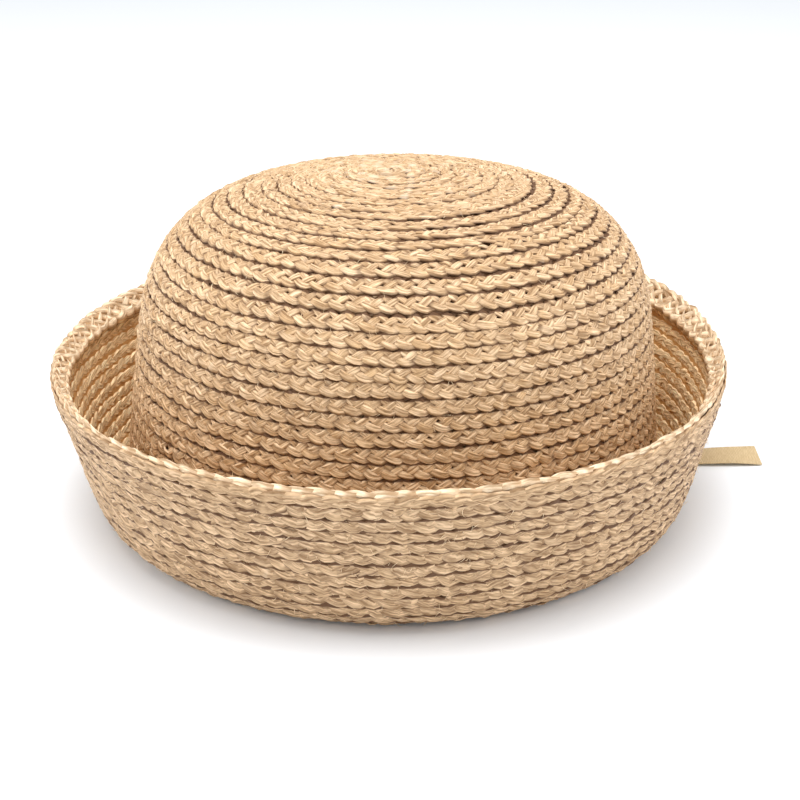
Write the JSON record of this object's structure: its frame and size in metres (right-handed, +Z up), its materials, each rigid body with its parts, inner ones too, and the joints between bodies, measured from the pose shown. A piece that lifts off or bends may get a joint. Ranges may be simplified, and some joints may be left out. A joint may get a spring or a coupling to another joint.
{
  "type": "raffia sun hat",
  "caption": "Round-domed straw sun hat of spiral-sewn braid, with a deep turned-up brim, a braid-faced rim and a short tie ribbon.",
  "frame": {"origin": "centre of the hat's outline seen from above, on the surface that it stands on", "axes": "+Z up through the dome, -Y towards the front of the picture, +X to its right, where the ribbon lies"},
  "size_m": [0.265, 0.2436, 0.1162],
  "materials": {
    "crown_raffia": "matte",
    "brim_raffia": "matte",
    "edge_raffia": "matte",
    "ribbon_cloth": "matte"
  },
  "bodies": {
    "root": {"crown": "crown_raffia", "brim": "brim_raffia", "edge_braid": "edge_raffia", "ribbon": "ribbon_cloth"}
  },
  "joints": []
}
